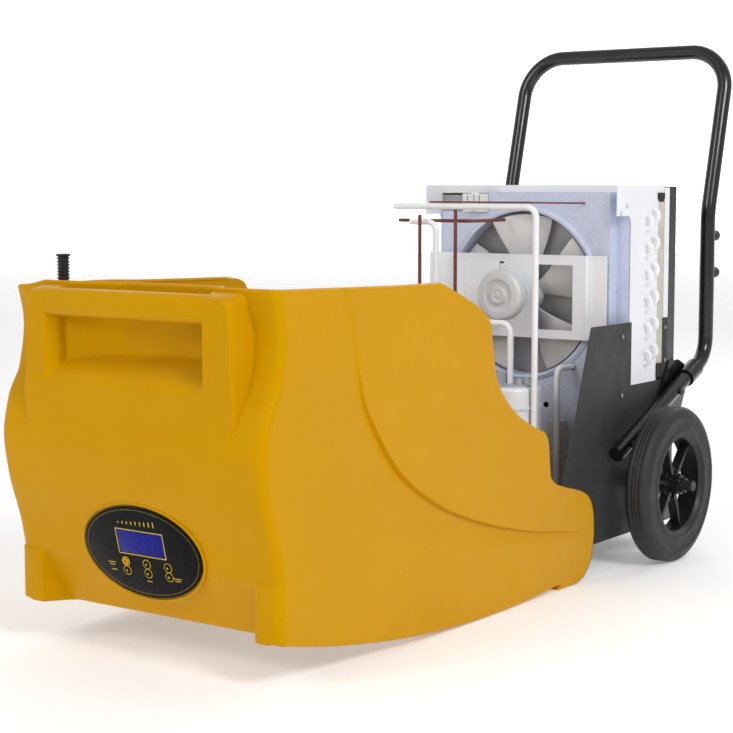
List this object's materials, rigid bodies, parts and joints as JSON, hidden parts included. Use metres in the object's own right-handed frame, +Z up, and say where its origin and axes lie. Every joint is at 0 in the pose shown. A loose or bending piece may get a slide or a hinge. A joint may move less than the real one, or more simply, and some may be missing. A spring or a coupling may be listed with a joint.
{
  "type": "dehumidifier",
  "caption": "Wheeled refrigerant dehumidifier with tube handle, fan, coil and compressor chassis, and a yellow front shell with grab bar drawn forward.",
  "frame": {"origin": "on the floor, in the middle of the overall length and width", "axes": "+X across the machine along the wheel axle, +Y from the control panel towards the handle, +Z up"},
  "size_m": [0.709, 1.5782, 1.018],
  "materials": {
    "black_powder_coat": "gloss black powder coat",
    "charcoal_sheet": "matt charcoal painted sheet steel",
    "galvanised_sheet": "bluish galvanised sheet",
    "white_sheet": "white satin coated sheet",
    "motor_grey": "light grey cast and painted can",
    "fin_aluminium": "thin aluminium fins",
    "white_pipe": "white coated tube",
    "copper_tube": "dull red-brown copper tube",
    "compressor_white": "pale grey enamelled steel can",
    "dark_cap": "grey plastic terminal cover",
    "rubber_black": "black rubber",
    "filter_media": "cream filter media",
    "drier_beige": "beige painted can",
    "relay_white": "white moulded plastic",
    "zinc_steel": "zinc plated steel",
    "inlet_black": "black moulded plastic",
    "tyre_rubber": "semi-matt black tyre rubber",
    "wheel_plastic": "black moulded nylon",
    "bush_nylon": "natural nylon",
    "fan_grey": "pale grey moulded plastic",
    "yellow_shell": "golden yellow rotomoulded polyethylene",
    "bezel_black": "black overlay with a thin yellow line",
    "display_blue": "blue display window",
    "box_black": "black moulded plastic",
    "hose_black": "black corrugated plastic",
    "button_yellow": "black button with a yellow ring"
  },
  "bodies": {
    "root": {"base_tray": "charcoal_sheet", "front_feet": "rubber_black", "side_panel_right": "charcoal_sheet", "side_panel_left": "charcoal_sheet", "rear_rails": "black_powder_coat", "rear_crossbars": "black_powder_coat", "bulkhead": "galvanised_sheet", "orifice_ring": "galvanised_sheet", "motor_bracket": "white_sheet", "fan_motor": "motor_grey", "coil_end_plates": "white_sheet", "coil_cover": "white_sheet", "condenser_fins": "fin_aluminium", "evaporator_fins": "fin_aluminium", "return_bends": "white_pipe", "air_filter": "filter_media", "filter_clips": "rubber_black", "filter_channels": "white_sheet", "inlet_grille": "charcoal_sheet", "drip_tray": "white_sheet", "compressor": "compressor_white", "compressor_mounts": "rubber_black", "terminal_cover": "dark_cap", "liquid_drier": "drier_beige", "suction_pipe": "white_pipe", "discharge_pipe": "white_pipe", "return_pipe": "white_pipe", "bypass_pipe": "white_pipe", "copper_pipes": "copper_tube", "capillary_tube": "copper_tube", "relay_boxes": "relay_white", "axle": "zinc_steel", "axle_plates": "charcoal_sheet", "axle_collars": "zinc_steel", "handle_tube": "black_powder_coat", "handle_plates": "black_powder_coat", "handle_bolts": "zinc_steel", "rubber_buffers": "rubber_black", "panel_screws": "zinc_steel", "mains_inlet": "inlet_black"},
    "wheel_right": {"tyre_right": "tyre_rubber", "rim_right": "wheel_plastic", "bush_right": "bush_nylon"},
    "wheel_left": {"tyre_left": "tyre_rubber", "rim_left": "wheel_plastic", "bush_left": "bush_nylon"},
    "fan": {"fan_blades": "fan_grey", "fan_shaft": "zinc_steel"},
    "shell": {"front_shell": "yellow_shell", "panel_bezel": "bezel_black", "display": "display_blue", "control_box": "box_black", "drain_hose": "hose_black", "hose_clips": "hose_black"},
    "push_button_1": {"button_1": "button_yellow"},
    "push_button_2": {"button_2": "button_yellow"},
    "push_button_3": {"button_3": "button_yellow"},
    "push_button_4": {"button_4": "button_yellow"},
    "push_button_5": {"button_5": "button_yellow"},
    "push_button_6": {"button_6": "button_yellow"}
  },
  "joints": [
    {"name": "wheel_right_spin", "type": "hinge", "parent": "root", "child": "wheel_right", "pos_m": [0.304, 0.40387, 0.15], "axis": [1, 0, 0], "continuous": true},
    {"name": "wheel_left_spin", "type": "hinge", "parent": "root", "child": "wheel_left", "pos_m": [-0.304, 0.40387, 0.15], "axis": [1, 0, 0], "continuous": true},
    {"name": "fan_spin", "type": "hinge", "parent": "root", "child": "fan", "pos_m": [0, 0.36387, 0.511], "axis": [0, 1, 0], "continuous": true},
    {"name": "shell_slide", "type": "slide", "parent": "root", "child": "shell", "axis": [0, 1, 0], "range_m": [-0.15, 0.205]},
    {"name": "button_1_press", "type": "slide", "parent": "shell", "child": "push_button_1", "axis": [0, 0.9715, 0.2368], "range_m": [0, 0.0015], "stiffness_N_per_m": 400, "springref_m": -0.0005},
    {"name": "button_2_press", "type": "slide", "parent": "shell", "child": "push_button_2", "axis": [0, 0.9715, 0.2368], "range_m": [0, 0.0015], "stiffness_N_per_m": 400, "springref_m": -0.0005},
    {"name": "button_3_press", "type": "slide", "parent": "shell", "child": "push_button_3", "axis": [0, 0.9715, 0.2368], "range_m": [0, 0.0015], "stiffness_N_per_m": 400, "springref_m": -0.0005},
    {"name": "button_4_press", "type": "slide", "parent": "shell", "child": "push_button_4", "axis": [0, 0.9715, 0.2368], "range_m": [0, 0.0015], "stiffness_N_per_m": 400, "springref_m": -0.0005},
    {"name": "button_5_press", "type": "slide", "parent": "shell", "child": "push_button_5", "axis": [0, 0.9715, 0.2368], "range_m": [0, 0.0015], "stiffness_N_per_m": 400, "springref_m": -0.0005},
    {"name": "button_6_press", "type": "slide", "parent": "shell", "child": "push_button_6", "axis": [0, 0.9715, 0.2368], "range_m": [0, 0.0015], "stiffness_N_per_m": 400, "springref_m": -0.0005}
  ]
}
